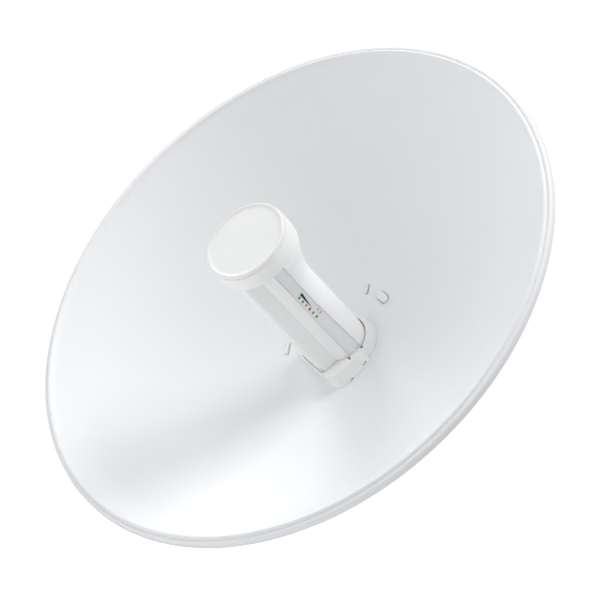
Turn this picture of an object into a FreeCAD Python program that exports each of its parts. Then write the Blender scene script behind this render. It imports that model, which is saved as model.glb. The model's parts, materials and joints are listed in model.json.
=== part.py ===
import FreeCAD, Part
import math
import os

Vector = FreeCAD.Vector

# Outdoor wireless bridge: a 420 mm dish with a plug-in feed radio, on a tilting mast bracket.
# Frame: origin on the mast's axis at the middle of the clamp, +Z up the mast, and the dish
# looks along -Y. Millimetres. "Behind" means towards +Y, "in front" towards -Y.

# ---- driving dimensions -------------------------------------------------------------------
MAST_RADIUS = 25.0
DISH_RADIUS = 210.0
APERTURE_RADIUS = 203.2
DISH_DEPTH = 87.0
SHEET = 1.2                    # thickness of the pressed dish
RIM_TO_MAST = 171.0            # rim plane to the mast's axis
CAP_IN_FRONT = 58.8            # feed cap's face, in front of the rim plane
FEED_RADIUS = 20.0
KEEL_HALF_WIDTH = 15.0         # square underside of the feed tube
KEEL_DROP = 27.0
KEEL_CORNER = 3.0
CAP_RADIUS = 32.0
CAP_HEIGHT = 16.3
WALL = 1.8                     # moulded walls of the feed
STEEL = 3.0                    # bracket plate
TILT = 20.0                    # elevation travel each way, degrees
SEAM_TURN = 37.0               # keeps the seam of a turned face away from flats and slots

# ---- places worked out from them ----------------------------------------------------------
RIM_Y = -RIM_TO_MAST
CAP_Y = RIM_Y - CAP_IN_FRONT
VERTEX_Y = RIM_Y + DISH_DEPTH
FOCAL = APERTURE_RADIUS ** 2 / (4 * DISH_DEPTH)
SHEET_BACK = SHEET + 0.05
COLLAR_TOP_Y = CAP_Y + 135.6
COLLAR_LOW_Y = CAP_Y + 131.0   # the collar stands taller beside the keel
FEED_END_Y = -50.0             # rear face of the feed, inside the rear housing
END_CAP_Y = FEED_END_Y - 2.0
GASKET_Y = END_CAP_Y - 0.6
FEED_GAP = 0.5                 # the feed slides this clear of its channel
COLLAR_GAP = 0.3

LABEL_FLOOR = 18.1             # the label strip lies on a flat this far from the feed's axis
LABEL_FACE = 18.9
LABEL_Z = (-4.4, 4.3)
LABEL_FOOT_Z = 6.5             # the label widens upwards towards the collar
LABEL_START_Y = CAP_Y + 24.0
LABEL_BEND_Y = CAP_Y + 68.0
LABEL_END_Y = CAP_Y + 134.3
LED_START_Y = CAP_Y + 58.9
LED_Z = -1.8
LED_PITCH = 4.92
LED_COUNT = 6
BOARD_X = (9.0, 10.6)

JACK_X = (-4.6, 9.0)
JACK_Y = (-83.0, -67.0)
JACK_Z = (-26.7, -6.7)
RESET_AT = (5.5, -60.0)
END_SCREWS = ((-7.0, 14.0), (-10.9, -22.9))

HOUSING_HALF_WIDTH = 26.0
HOUSING_BOTTOM = -46.0
HOUSING_TOP = 42.0
FLANGE_RADIUS = 54.0
HOOKS = ((-40.4, -29.4, 12.0, 48), (-22.6, 42.0, 7.5, 60))   # X, Z, length and turn of each tongue
HOOK_WIDTH = 1.8
TAB_AT = (-5.2, 44.8)          # broad tab that snaps through the dish above the feed
TAB_SIZE = (11.7, 6.3)
PIVOT_Y = -54.0
PIVOT_Z = 6.0
LOCK_RADIUS = 28.0
BOLT_RADIUS = 3.0
EAR_INSIDE = HOUSING_HALF_WIDTH + 0.3
EAR_OUTSIDE = EAR_INSIDE + STEEL

WEB_Y = (-34.0, -31.0)
WEB_HALF_WIDTH = 44.0
WEB_HALF_HEIGHT = 31.0
SADDLE_Y = -13.0               # the saddle plates stop short of the mast's axis
CLAMP_BOLT_X = 34.0
CLAMP_BOLT_RADIUS = 3.0
CLAMP_BOLT_LENGTH = 50.0
BOLT_HEAD_RADIUS = 7.5
STRAP = 2.5                    # thickness of the jaw's strap
STRAP_HALF_HEIGHT = 20.0
WING_Y = (1.0, 3.5)
WING_HALF_WIDTH = 42.0

LATCH_Y = (-73.0, -66.0)
LATCH_HALF_WIDTH = 7.0
COVER_SCREWS = ((-8.2, -63.8), (8.2, -63.8))
BAY_Y = (-80.5, -60.0)
BAY_HALF_WIDTH = 22.0
BAY_ROOF = -29.2


# ---- shape helpers --------------------------------------------------------------------------
def block(x, y, z):
    """Box between two X, two Y and two Z values."""
    return Part.makeBox(x[1] - x[0], y[1] - y[0], z[1] - z[0], Vector(x[0], y[0], z[0]))


def rod(radius, start, end):
    """Round bar from one point to another."""
    start = Vector(*start)
    along = Vector(*end) - start
    return Part.makeCylinder(radius, along.Length, start, along)


def tube(outer, inner, start, end):
    """Round tube from one point to another."""
    return rod(outer, start, end).cut(rod(inner, start, end))


def joined(shapes):
    """One solid from overlapping ones."""
    whole = shapes[0].multiFuse(shapes[1:])
    return whole.removeSplitter()


def turned(edges):
    """Solid of revolution about the dish's axis from edges drawn in (radius, Y)."""
    face = Part.Face(Part.Wire(Part.__sortEdges__(edges)))
    solid = face.revolve(Vector(0, 0, 0), Vector(0, 1, 0), 360)
    solid.rotate(Vector(0, 0, 0), Vector(0, 1, 0), SEAM_TURN)
    return solid


def line(start, end):
    """Straight edge between two (radius, Y) points."""
    return Part.makeLine(Vector(start[0], start[1], 0), Vector(end[0], end[1], 0))


def arc(start, middle, end):
    """Round edge through three (radius, Y) points."""
    return Part.Arc(Vector(*start, 0), Vector(*middle, 0), Vector(*end, 0)).toShape()


def curve(*poles):
    """Bezier edge with (radius, Y) poles."""
    bezier = Part.BezierCurve()
    bezier.setPoles([Vector(pole[0], pole[1], 0) for pole in poles])
    return bezier.toShape()


def turned_points(points):
    """Solid of revolution from a closed chain of (radius, Y) points."""
    following = points[1:] + points[:1]
    return turned([line(start, end) for start, end in zip(points, following)])


def rounded_wire(x, z, radius, y):
    """Rounded rectangle in a plane of constant Y."""
    left, right = x
    low, high = z
    slant = radius * (1 - math.sqrt(0.5))
    edges = []
    corners = [
        ((right - radius, low), (right - slant, low + slant), (right, low + radius)),
        ((right, high - radius), (right - slant, high - slant), (right - radius, high)),
        ((left + radius, high), (left + slant, high - slant), (left, high - radius)),
        ((left, low + radius), (left + slant, low + slant), (left + radius, low)),
    ]
    for index, corner in enumerate(corners):
        start, middle, end = [Vector(px, y, pz) for px, pz in corner]
        after = corners[(index + 1) % 4][0]
        edges.append(Part.Arc(start, middle, end).toShape())
        edges.append(Part.makeLine(end, Vector(after[0], y, after[1])))
    return Part.Wire(edges)


def rounded_block(x, y, z, radius):
    """Box along Y with its four long edges rounded."""
    face = Part.Face(rounded_wire(x, z, radius, y[0]))
    return face.extrude(Vector(0, y[1] - y[0], 0))


def side_block(points, x):
    """Polygon in (Y, Z) extruded across X."""
    loop = [Vector(x[0], y, z) for y, z in points]
    return Part.Face(Part.makePolygon(loop + loop[:1])).extrude(Vector(x[1] - x[0], 0, 0))


def surface_y(radius):
    """Y of the dish's front surface at a distance from its axis."""
    return VERTEX_Y - radius ** 2 / (4 * FOCAL)


def dish_curve(inner, outer, behind):
    """Exact parabola edge, moved back from the dish's front surface."""
    slope = -inner / (2 * FOCAL)
    middle = (inner + outer) / 2
    start = (inner, surface_y(inner) + behind)
    pole = (middle, start[1] + slope * (middle - inner))
    return curve(start, pole, (outer, surface_y(outer) + behind))


def dish_layer(inner, outer, front, back):
    """Ring that follows the dish, between two distances behind its front surface."""
    edges = [
        dish_curve(inner, outer, front),
        line((outer, surface_y(outer) + front), (outer, surface_y(outer) + back)),
        dish_curve(inner, outer, back),
        line((inner, surface_y(inner) + back), (inner, surface_y(inner) + front)),
    ]
    return turned(edges)


def hex_prism(across_flats, start, end):
    """Hexagon bar along X or Y from one point to another."""
    start = Vector(*start)
    along = Vector(*end) - start
    corner_radius = across_flats / math.sqrt(3)
    up = Vector(0, 0, 1)
    side = along.cross(up).normalize()
    loop = []
    for index in range(7):
        angle = math.radians(60 * index)
        offset = up * math.cos(angle) + side * math.sin(angle)
        loop.append(start + offset * corner_radius)
    return Part.Face(Part.makePolygon(loop)).extrude(along)


# ---- feed radio -----------------------------------------------------------------------------
def feed_outline(margin, y):
    """Round tube with a square keel, grown by a margin, between two Y values."""
    round_part = rod(FEED_RADIUS + margin, (0, y[0], 0), (0, y[1], 0))
    half = KEEL_HALF_WIDTH + margin
    keel = rounded_block((-half, half), y, (-KEEL_DROP - margin, 0), max(KEEL_CORNER + margin, 0.5))
    return joined([round_part, keel])


def feed_solid(margin, top):
    """Feed below its cap, grown by a margin: a shoulder above the label's level, tube and keel."""
    neck = CAP_RADIUS - 0.4 + margin
    stem = FEED_RADIUS + margin
    level = LABEL_Z[1] - margin
    edges = [
        line((0, top), (neck, top)),
        line((neck, top), (neck, CAP_Y + 19)),
        curve((neck, CAP_Y + 19), (neck, CAP_Y + 27), (stem, CAP_Y + 36), (stem, CAP_Y + 66)),
        line((stem, CAP_Y + 66), (stem, GASKET_Y)),
        line((stem, GASKET_Y), (0, GASKET_Y)),
        line((0, GASKET_Y), (0, top)),
    ]
    above = turned(edges).common(block((-40, 40), (top - 1, 0), (level, 40)))
    below = feed_outline(margin, (top, GASKET_Y)).common(block((-40, 40), (top - 1, 0), (-40, level)))
    return joined([above, below])


def feed_housing():
    """Moulded tube of the feed, hollow, with openings for label, jack, reset and catch."""
    deck_y = (CAP_Y + CAP_HEIGHT - 1.8, CAP_Y + CAP_HEIGHT + 0.4)
    deck = rod(CAP_RADIUS - WALL - 0.1, (0, deck_y[0], 0), (0, deck_y[1], 0))
    spigot = tube(CAP_RADIUS - WALL - 0.1, 28.2, (0, CAP_Y + 10, 0), (0, deck_y[0] + 0.5, 0))
    way_in = rod(FEED_RADIUS - WALL, (0, deck_y[0] - 1, 0), (0, deck_y[1] + 1, 0))
    hollow = joined([feed_solid(-WALL, deck_y[1]), way_in])
    thick_side = block((LABEL_FLOOR - WALL, 40), (LABEL_START_Y - WALL, 0), (-30, 30))
    thick_top = block((-30, 30), (LATCH_Y[0] - 4, 0), (16.2, 30))
    bosses = [rod(2.8, (x, GASKET_Y - 14, z), (x, 0, z)) for x, z in END_SCREWS]
    hollow = hollow.cut(thick_side).cut(thick_top).cut(Part.makeCompound(bosses))
    shell = joined([feed_solid(0, deck_y[1] - 0.2), deck, spigot]).cut(hollow)
    shell = shell.cut(label_shape(0, (LABEL_FLOOR, 40)))
    cutters = [
        block((-4.2, 4.2), (LATCH_Y[0] - 0.6, 0), (17.6, 30)),
        block((JACK_X[0] - 0.2, JACK_X[1] + 0.2), (JACK_Y[0] - 0.2, JACK_Y[1] + 0.2), (-30, -20)),
        rod(1.6, (*RESET_AT, -30), (*RESET_AT, -23)),
    ]
    cutters += [rod(1.3, (x, GASKET_Y - 12, z), (x, 0, z)) for x, z in END_SCREWS]
    cutters += [rod(1.25, (15, y, LED_Z), (20, y, LED_Z)) for y in led_places(range(LED_COUNT))]
    for x in ((-16, -13.4), (13.4, 16)):
        cutters.append(block(x, (COLLAR_LOW_Y - 5, COLLAR_LOW_Y + 2), (-26.5, -25.4)))
    return shell.cut(Part.makeCompound(cutters))


def label_shape(gap, x):
    """Long flat of the label, shrunk by a gap, between two X values."""
    low = LABEL_Z[0] + gap
    high = LABEL_Z[1] - gap
    start = LABEL_START_Y + gap
    end = LABEL_END_Y - gap
    outline = [(start, low), (end, low), (end, LABEL_FOOT_Z - gap), (LABEL_BEND_Y, high), (start, high)]
    return side_block(outline, x)


def led_places(indexes):
    """Y of each status light, counted from the cap."""
    return [LED_START_Y + LED_PITCH * index for index in indexes]


def feed_cap():
    """Radome cap with a raised round border on its face."""
    skirt = CAP_Y + CAP_HEIGHT
    inside = CAP_RADIUS - WALL
    edges = [
        line((0, CAP_Y + 0.9), (28.3, CAP_Y + 0.9)),
        curve((28.3, CAP_Y + 0.9), (29.3, CAP_Y + 0.9), (29.3, CAP_Y), (30.2, CAP_Y)),
        arc((30.2, CAP_Y), (31.47, CAP_Y + 0.53), (CAP_RADIUS, CAP_Y + 1.8)),
        line((CAP_RADIUS, CAP_Y + 1.8), (CAP_RADIUS, skirt - 0.5)),
        line((CAP_RADIUS, skirt - 0.5), (CAP_RADIUS - 0.5, skirt)),
        line((CAP_RADIUS - 0.5, skirt), (inside, skirt)),
        line((inside, skirt), (inside, CAP_Y + 3)),
        line((inside, CAP_Y + 3), (0, CAP_Y + 3)),
        line((0, CAP_Y + 3), (0, CAP_Y + 0.9)),
    ]
    return turned(edges)


def cap_seal():
    """Rubber ring between the cap and the tube's spigot."""
    y = (CAP_Y + 9, CAP_Y + 10)
    return tube(30.0, 28.4, (0, y[0], 0), (0, y[1], 0))


def subreflector():
    """Spun aluminium disc with a turned-down lip, behind the cap's face."""
    y = CAP_Y + 4.5
    return turned_points([(0, y), (27.5, y), (27.5, y + 4.5), (26.5, y + 4.5), (26.5, y + 1), (0, y + 1)])


def reflector_spacers():
    """Four posts that hold the subreflector off the radiator board."""
    places = [(14 * math.cos(a), 14 * math.sin(a)) for a in (math.radians(45 + 90 * i) for i in range(4))]
    return [rod(1.6, (x, CAP_Y + 5.5, z), (x, CAP_Y + 12, z)) for x, z in places]


def radiator_board():
    """Round printed board that carries the dipoles."""
    board = rod(22, (0, CAP_Y + 12, 0), (0, CAP_Y + 13.6, 0))
    dipoles = [block((-18, 18), (CAP_Y + 11.9, CAP_Y + 12.1), (-1.2, 1.2))]
    dipoles.append(block((-1.2, 1.2), (CAP_Y + 11.9, CAP_Y + 12.1), (-18, 18)))
    return joined([board] + dipoles)


def feed_post():
    """Aluminium tube that carries the radiator board."""
    foot = tube(9, 4, (0, CAP_Y + 13.6, 0), (0, CAP_Y + 15.6, 0))
    return joined([foot, tube(5, 4, (0, CAP_Y + 13.6, 0), (0, CAP_Y + 42, 0))])


def coax_leads():
    """Two thin leads from the radiator board down the post and across to the main board."""
    leads = []
    for z in (-2.2, 2.2):
        start = Vector(0, CAP_Y + 14, z)
        bend = Vector(0, CAP_Y + 43, z)
        reach = 4.0
        turn = Vector(reach - reach * math.sqrt(0.5), bend.y + reach * math.sqrt(0.5), z)
        across = Vector(reach, bend.y + reach, z)
        finish = Vector(BOARD_X[0] - 0.05, across.y, z)
        path = Part.Wire([
            Part.makeLine(start, bend),
            Part.Arc(bend, turn, across).toShape(),
            Part.makeLine(across, finish),
        ])
        ring = Part.Wire(Part.makeCircle(0.7, start, Vector(0, 1, 0)))
        leads.append(path.makePipeShell([ring], True, True))
    return leads


def main_board():
    """Long printed board on edge inside the tube."""
    return block(BOARD_X, (CAP_Y + 44, GASKET_Y - 4), (-22.7, 12.5))


def shield_can():
    """Tinned cover over the radio circuits."""
    x = (5.0, BOARD_X[0])
    outside = block(x, (CAP_Y + 70, CAP_Y + 112), (-14, 10))
    inside = block((x[0] + 0.4, x[1]), (CAP_Y + 70.4, CAP_Y + 111.6), (-13.6, 9.6))
    return outside.cut(inside)


def board_chips():
    """Radio, processor and memory chips under the shield can."""
    x = (BOARD_X[0] - 1.2, BOARD_X[0])
    sizes = ((CAP_Y + 73, 9, -4), (CAP_Y + 85, 12, -6), (CAP_Y + 100, 8, -3))
    return [block(x, (y, y + side), (z, z + side)) for y, side, z in sizes]


def ethernet_transformer():
    """Magnetics block between the jack and the processor."""
    return block((3.0, BOARD_X[0]), (CAP_Y + 120, CAP_Y + 136), (-20, -6))


def jack_shell():
    """Folded metal shell of the network jack, open downwards."""
    outside = block(JACK_X, JACK_Y, JACK_Z)
    wall = 0.4
    inside = block(
        (JACK_X[0] + wall, JACK_X[1] - wall),
        (JACK_Y[0] + wall, JACK_Y[1] - wall),
        (JACK_Z[0] - 1, JACK_Z[1] - wall),
    )
    return outside.cut(inside)


def jack_insert():
    """Moulded inside of the jack with the plug's cavity and its latch recess."""
    gap = 0.45
    x = (JACK_X[0] + gap, JACK_X[1] - gap)
    y = (JACK_Y[0] + gap, JACK_Y[1] - gap)
    middle = (y[0] + y[1]) / 2
    body = block(x, y, (JACK_Z[0], JACK_Z[1] - gap))
    cavity = block((x[0] + 3.0, x[1] - 1.6), (middle - 5.9, middle + 5.9), (JACK_Z[0] - 1, JACK_Z[0] + 13.5))
    latch_way = block((x[0] + 1.0, x[0] + 3.1), (middle - 3.1, middle + 3.1), (JACK_Z[0] - 1, JACK_Z[0] + 9))
    return body.cut(cavity).cut(latch_way)


def jack_contacts():
    """Eight sprung contact wires along one side of the plug's cavity."""
    middle = (JACK_Y[0] + JACK_Y[1]) / 2
    x = JACK_X[1] - 0.45 - 1.6
    contacts = []
    for index in range(8):
        y = middle + 1.02 * (index - 3.5)
        contacts.append(block((x - 0.6, x - 0.05), (y - 0.2, y + 0.2), (JACK_Z[0] + 3, JACK_Z[0] + 13.3)))
    return contacts


def status_leds():
    """Six surface-mounted lights on the board's outer face."""
    x = (BOARD_X[1], BOARD_X[1] + 0.8)
    z = (LED_Z - 0.5, LED_Z + 0.5)
    return [block(x, (y - 0.8, y + 0.8), z) for y in led_places(range(LED_COUNT))]


def light_pipes(indexes):
    """Clear pegs that carry each light to the label's face."""
    pipes = []
    for y in led_places(indexes):
        peg = rod(1.15, (BOARD_X[1] + 1.0, y, LED_Z), (LABEL_FACE + 0.1, y, LED_Z))
        collar = rod(1.9, (BOARD_X[1] + 1.0, y, LED_Z), (LABEL_FLOOR - WALL - 0.1, y, LED_Z))
        pipes.append(joined([peg, collar]))
    return pipes


def label_strip():
    """Long overlay that fills the flat on the tube's side."""
    strip = label_shape(0.15, (LABEL_FLOOR, LABEL_FACE))
    holes = [rod(1.2, (15, y, LED_Z), (20, y, LED_Z)) for y in led_places(range(LED_COUNT))]
    return strip.cut(Part.makeCompound(holes))


def reset_switch():
    """Small tact switch at the board's rear edge."""
    return block((2.5, BOARD_X[0]), (-62.5, -57.5), (-22.7, -18.7))


def reset_button():
    """Pin-hole button under the reset switch, flush inside the keel."""
    stem = rod(1.35, (*RESET_AT, -26.8), (*RESET_AT, -23.4))
    return joined([stem, rod(2.2, (*RESET_AT, -25.0), (*RESET_AT, -23.8))])


def end_ring(y, inset):
    """Slice of the feed's outline with its middle removed."""
    return feed_outline(-0.1, y).cut(feed_outline(-inset, (y[0] - 1, y[1] + 1)))


def end_gasket():
    """Thin rubber gasket under the end cap."""
    holes = [rod(1.6, (x, -60, z), (x, -40, z)) for x, z in END_SCREWS]
    return end_ring((GASKET_Y, END_CAP_Y), 3.2).cut(Part.makeCompound(holes))


def end_cap():
    """Rear lid of the feed, with the keyway of the catch left open."""
    lid = feed_outline(-0.1, (END_CAP_Y, FEED_END_Y))
    keyway = block((-4.2, 4.2), (-60, 0), (17.6, 30))
    holes = [rod(1.3, (x, -60, z), (x, -40, z)) for x, z in END_SCREWS]
    return lid.cut(Part.makeCompound([keyway] + holes))


def end_cap_screws():
    """Two pan-head screws with a cross slot."""
    screws = []
    for x, z in END_SCREWS:
        shank = rod(1.2, (x, GASKET_Y - 10, z), (x, FEED_END_Y, z))
        head = rod(2.5, (x, FEED_END_Y, z), (x, FEED_END_Y + 1.4, z))
        slots = Part.makeCompound([
            block((x - 1.5, x + 1.5), (FEED_END_Y + 0.7, 0), (z - 0.3, z + 0.3)),
            block((x - 0.3, x + 0.3), (FEED_END_Y + 0.7, 0), (z - 1.5, z + 1.5)),
        ])
        screws.append(joined([shank, head]).cut(slots))
    return screws


# ---- dish and rear housing --------------------------------------------------------------------
def dish_reflector():
    """Pressed parabolic dish with a rolled double rim and a keyed centre hole."""
    back_edge = APERTURE_RADIUS - 0.6
    inner = 4.0
    edges = [
        dish_curve(inner, APERTURE_RADIUS, 0),
        arc((203.2, RIM_Y), (204.6, RIM_Y - 1.3), (206.0, RIM_Y)),
        arc((206.0, RIM_Y), (206.6, RIM_Y + 0.7), (207.2, RIM_Y + 0.2)),
        arc((207.2, RIM_Y + 0.2), (209.3, RIM_Y + 0.5), (DISH_RADIUS, RIM_Y + 2.2)),
        line((DISH_RADIUS, RIM_Y + 2.2), (DISH_RADIUS, RIM_Y + 5.4)),
        line((DISH_RADIUS, RIM_Y + 5.4), (DISH_RADIUS - SHEET, RIM_Y + 5.4)),
        line((DISH_RADIUS - SHEET, RIM_Y + 5.4), (DISH_RADIUS - SHEET, RIM_Y + 2.4)),
        line((DISH_RADIUS - SHEET, RIM_Y + 2.4), (APERTURE_RADIUS + 0.6, RIM_Y + 2.1)),
        line((APERTURE_RADIUS + 0.6, RIM_Y + 2.1), (back_edge, surface_y(back_edge) + SHEET)),
        dish_curve(inner, back_edge, SHEET),
        line((inner, surface_y(inner) + SHEET), (inner, surface_y(inner))),
    ]
    y = (VERTEX_Y - 20, VERTEX_Y + 10)
    round_hole = rod(FEED_RADIUS + 4.2, (0, y[0], 0), (0, y[1], 0))
    keel_hole = block((-17, 17), y, (-KEEL_DROP - 0.8, 0))
    slots = [tab_prism(0.5, y)]
    for hook in HOOKS:
        slots.append(joined([hook_prism(hook, 0.2, 0, y), hook_prism(hook, 0.2, 0.7, y)]))
    return turned(edges).cut(joined([round_hole, keel_hole])).cut(Part.makeCompound(slots))


def tab_prism(margin, y):
    """Broad round-cornered tab, grown by a margin, between two Y values."""
    half_length = TAB_SIZE[0] / 2 + margin
    half_width = TAB_SIZE[1] / 2 + margin
    x = (TAB_AT[0] - half_length, TAB_AT[0] + half_length)
    z = (TAB_AT[1] - half_width, TAB_AT[1] + half_width)
    return rounded_block(x, y, z, half_width - 0.2)


def hook_prism(hook, margin, aside, y):
    """Turned tongue, grown by a margin and moved aside across its width, between two Y values."""
    x, z, length, turn = hook
    half_length = length / 2 + margin
    half_width = HOOK_WIDTH / 2 + margin
    tongue = block((-half_length, half_length), y, (aside - half_width, aside + half_width))
    tongue.rotate(Vector(0, 0, 0), Vector(0, 1, 0), turn)
    tongue.translate(Vector(x, 0, z))
    return tongue


def hub_collar():
    """Moulded ring in front of the dish, close around the feed, with side lobes and legs behind."""
    tall = COLLAR_LOW_Y - 0.5
    base = rounded_wire((-31, 31), (-29.2, 6), 9, VERTEX_Y + 2)
    top = rounded_wire((-24.8, 24.8), (-28.3, 5), 8, tall)
    lobes = Part.makeLoft([base, top], True)
    ring = turned_points([(19, tall), (23.4, tall), (26, VERTEX_Y + 2), (19, VERTEX_Y + 2)])
    ring = ring.common(block((-40, 40), (tall, 0), (-10, 40)))
    sloped = side_block(
        [
            (COLLAR_TOP_Y, 40), (COLLAR_TOP_Y, 8), (COLLAR_LOW_Y, -28), (COLLAR_LOW_Y, -40),
            (VERTEX_Y + 4, -40), (VERTEX_Y + 4, 40),
        ],
        (-40, 40),
    )
    body = joined([lobes, ring]).common(sloped).cut(dish_layer(4.0, 60, -0.05, 30))
    legs = [block((x - 1.1, x + 1.1), (VERTEX_Y - 6, VERTEX_Y + 9.5), (-4.5, 4.5)) for x in (-22.3, 22.3)]
    barbs = [block((x - 1.6, x + 1.6), (VERTEX_Y + 7.5, VERTEX_Y + 9.5), (-4.5, 4.5)) for x in (-22.8, 22.8)]
    body = joined([body] + legs + barbs)
    body = body.cut(feed_outline(COLLAR_GAP, (tall - 5, 0)))
    recess = rod(FEED_RADIUS + 0.9, (0, tall - 5, 0), (0, COLLAR_TOP_Y + 2.5, 0))
    return body.cut(Part.makeCompound([
        recess.common(block((-30, 30), (tall - 5, 0), (5.3, 30))),
        block((18, 21.8), (tall - 5, COLLAR_TOP_Y + 8), (5.1, 7.3)),
        block((18, 22.6), (tall - 5, COLLAR_TOP_Y + 8), (-6.7, -5.0)),
        block((25, 36), (VERTEX_Y - 3.4, VERTEX_Y - 1.2), (-16.9, -14.0)),
        block((25, 36), (VERTEX_Y - 4.5, VERTEX_Y - 3.3), (-2.4, 1.2)),
    ]))


def hub_gasket():
    """Foam ring between the dish and the rear housing."""
    return dish_layer(37, 39.6, SHEET_BACK, SHEET_BACK + 0.6)


def rear_housing():
    """Moulded housing behind the dish: feed channel, cable bay and catch pocket."""
    front = VERTEX_Y - 12
    body = rounded_block(
        (-HOUSING_HALF_WIDTH, HOUSING_HALF_WIDTH), (front, -40), (HOUSING_BOTTOM, HOUSING_TOP), 9.0
    )
    rear_y = FEED_END_Y + 4
    side = side_block(
        [
            (front, HOUSING_BOTTOM), (PIVOT_Y - 1, HOUSING_BOTTOM), (rear_y - 0.5, -18), (rear_y, -4),
            (rear_y, 24), (rear_y - 3, 36), (rear_y - 8, HOUSING_TOP), (front, HOUSING_TOP),
        ],
        (-40, 40),
    )
    body = body.common(side)
    flange = dish_layer(4.0, FLANGE_RADIUS, SHEET_BACK + 0.6, SHEET_BACK + 3.2)
    ribs = [rib(angle) for angle in (0, 90, 180, 270)]
    hooks = [hook_prism(hook, 0, 0, (VERTEX_Y - 12, VERTEX_Y + 2)) for hook in HOOKS]
    hooks.append(tab_prism(0, (VERTEX_Y - 12, VERTEX_Y + 2)))
    trimmed = [hook.common(dish_layer(20, 60, -1.2, 4)) for hook in hooks]
    in_front = dish_layer(0.5, 60, -30, SHEET_BACK + 0.6)
    body = joined([body.cut(in_front), flange] + ribs)
    body = joined([body] + trimmed)
    pocket_half = LATCH_HALF_WIDTH + 0.4
    cutters = [
        feed_outline(FEED_GAP, (front - 10, FEED_END_Y + 1.6)),
        rod(26.6, (0, front, 0), (0, VERTEX_Y + 10, 0)).common(block((-30, 30), (front, 0), (-6, 6))),
        block((-BAY_HALF_WIDTH, BAY_HALF_WIDTH), BAY_Y, (HOUSING_BOTTOM - 1, BAY_ROOF)),
        block((-13, 13), (BAY_Y[0], -57.5), (BAY_ROOF - 1, -20)),
        block((-pocket_half, pocket_half), (LATCH_Y[0] - 0.4, LATCH_Y[1] + 0.4), (15, HOUSING_TOP + 1)),
        block((-10, 10), (-77, -62), (HOUSING_TOP - 2, HOUSING_TOP + 1)),
    ]
    for x, y, z in insert_places():
        cutters.append(rod(4.05, (x, y, z), (x * 2, y, z)))
    return body.cut(Part.makeCompound(cutters[:1])).cut(Part.makeCompound(cutters[1:]))


def rib(angle):
    """Stiffening rib between the housing's body and its flange."""
    web = side_block(
        [(VERTEX_Y + 2.5, 0), (VERTEX_Y + 16, 0), (VERTEX_Y + 16, 22), (VERTEX_Y - 2.2, FLANGE_RADIUS - 1)],
        (-1.5, 1.5),
    )
    web.rotate(Vector(0, 0, 0), Vector(0, 1, 0), angle)
    return web.cut(dish_layer(0.5, 60, -20, SHEET_BACK + 0.6))


def lock_place():
    """Y and Z of the lock bolts at rest, straight below the pivot."""
    return PIVOT_Y, PIVOT_Z - LOCK_RADIUS


def insert_places():
    """Inner end of each threaded insert in the housing's sides."""
    lock_y, lock_z = lock_place()
    places = []
    for sign in (-1, 1):
        places.append((sign * 21.5, PIVOT_Y, PIVOT_Z))
        places.append((sign * 17.5, lock_y, lock_z))
    return places


def brass_inserts():
    """Threaded bushes that take the pivot and lock bolts."""
    inserts = []
    for x, y, z in insert_places():
        end = math.copysign(HOUSING_HALF_WIDTH - 0.1, x)
        inserts.append(tube(4.0, BOLT_RADIUS + 0.02, (x, y, z), (end, y, z)))
    return inserts


def side_bolts(y, z, depth):
    """Hex bolts through both ears into the housing."""
    bolts = []
    for sign in (-1, 1):
        inside = sign * (HOUSING_HALF_WIDTH - depth)
        seat = sign * (EAR_OUTSIDE + 1.3)
        head_end = seat + sign * 4.0
        shank = rod(BOLT_RADIUS, (inside, y, z), (seat, y, z))
        head = hex_prism(10.0, (seat, y, z), (head_end, y, z))
        bolts.append(joined([shank, head]))
    return bolts


def bolt_washers():
    """Four washers under the pivot and lock bolts' heads."""
    lock_y, lock_z = lock_place()
    washers = []
    for sign in (-1, 1):
        for y, z in ((PIVOT_Y, PIVOT_Z), (lock_y, lock_z)):
            start = (sign * (EAR_OUTSIDE + 0.1), y, z)
            end = (sign * (EAR_OUTSIDE + 1.3), y, z)
            washers.append(tube(6.0, BOLT_RADIUS + 0.05, start, end))
    return washers


def release_latch():
    """Sprung catch that drops into the feed's keyway, with a pull grip on top."""
    half = LATCH_HALF_WIDTH
    middle = (LATCH_Y[0] + LATCH_Y[1]) / 2
    parts = [
        block((-half, half), LATCH_Y, (21.2, 30)),
        block((-3.6, 3.6), (LATCH_Y[0] + 1, LATCH_Y[1] - 1), (18.2, 22)),
        rod(2.2, (0, middle, 29), (0, middle, 48)),
        rounded_block((-9, 9), (middle - 3.4, middle + 3.4), (46.4, 50.4), 1.9),
    ]
    return joined(parts)


def latch_spring():
    """Coil spring's envelope around the catch's stem."""
    middle = (LATCH_Y[0] + LATCH_Y[1]) / 2
    return tube(3.4, 2.5, (0, middle, 30.1), (0, middle, 39.9))


def latch_cover():
    """Small plate that closes the catch's pocket and holds its spring."""
    middle = (LATCH_Y[0] + LATCH_Y[1]) / 2
    plate = block((-9.8, 9.8), (-76.8, -62.2), (HOUSING_TOP - 2, HOUSING_TOP))
    stem_hole = rod(2.6, (0, middle, 30), (0, middle, 50))
    holes = [rod(1.1, (x, y, 30), (x, y, 50)) for x, y in COVER_SCREWS]
    return plate.cut(Part.makeCompound([stem_hole] + holes))


def latch_cover_screws():
    """Two small screws that hold the catch's cover."""
    screws = []
    for x, y in COVER_SCREWS:
        shank = rod(1.0, (x, y, HOUSING_TOP - 2), (x, y, HOUSING_TOP))
        head = rod(1.5, (x, y, HOUSING_TOP), (x, y, HOUSING_TOP + 0.9))
        slot = block((x - 1.1, x + 1.1), (y - 0.25, y + 0.25), (HOUSING_TOP + 0.4, HOUSING_TOP + 2))
        screws.append(joined([shank, head]).cut(slot))
    return screws


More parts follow.
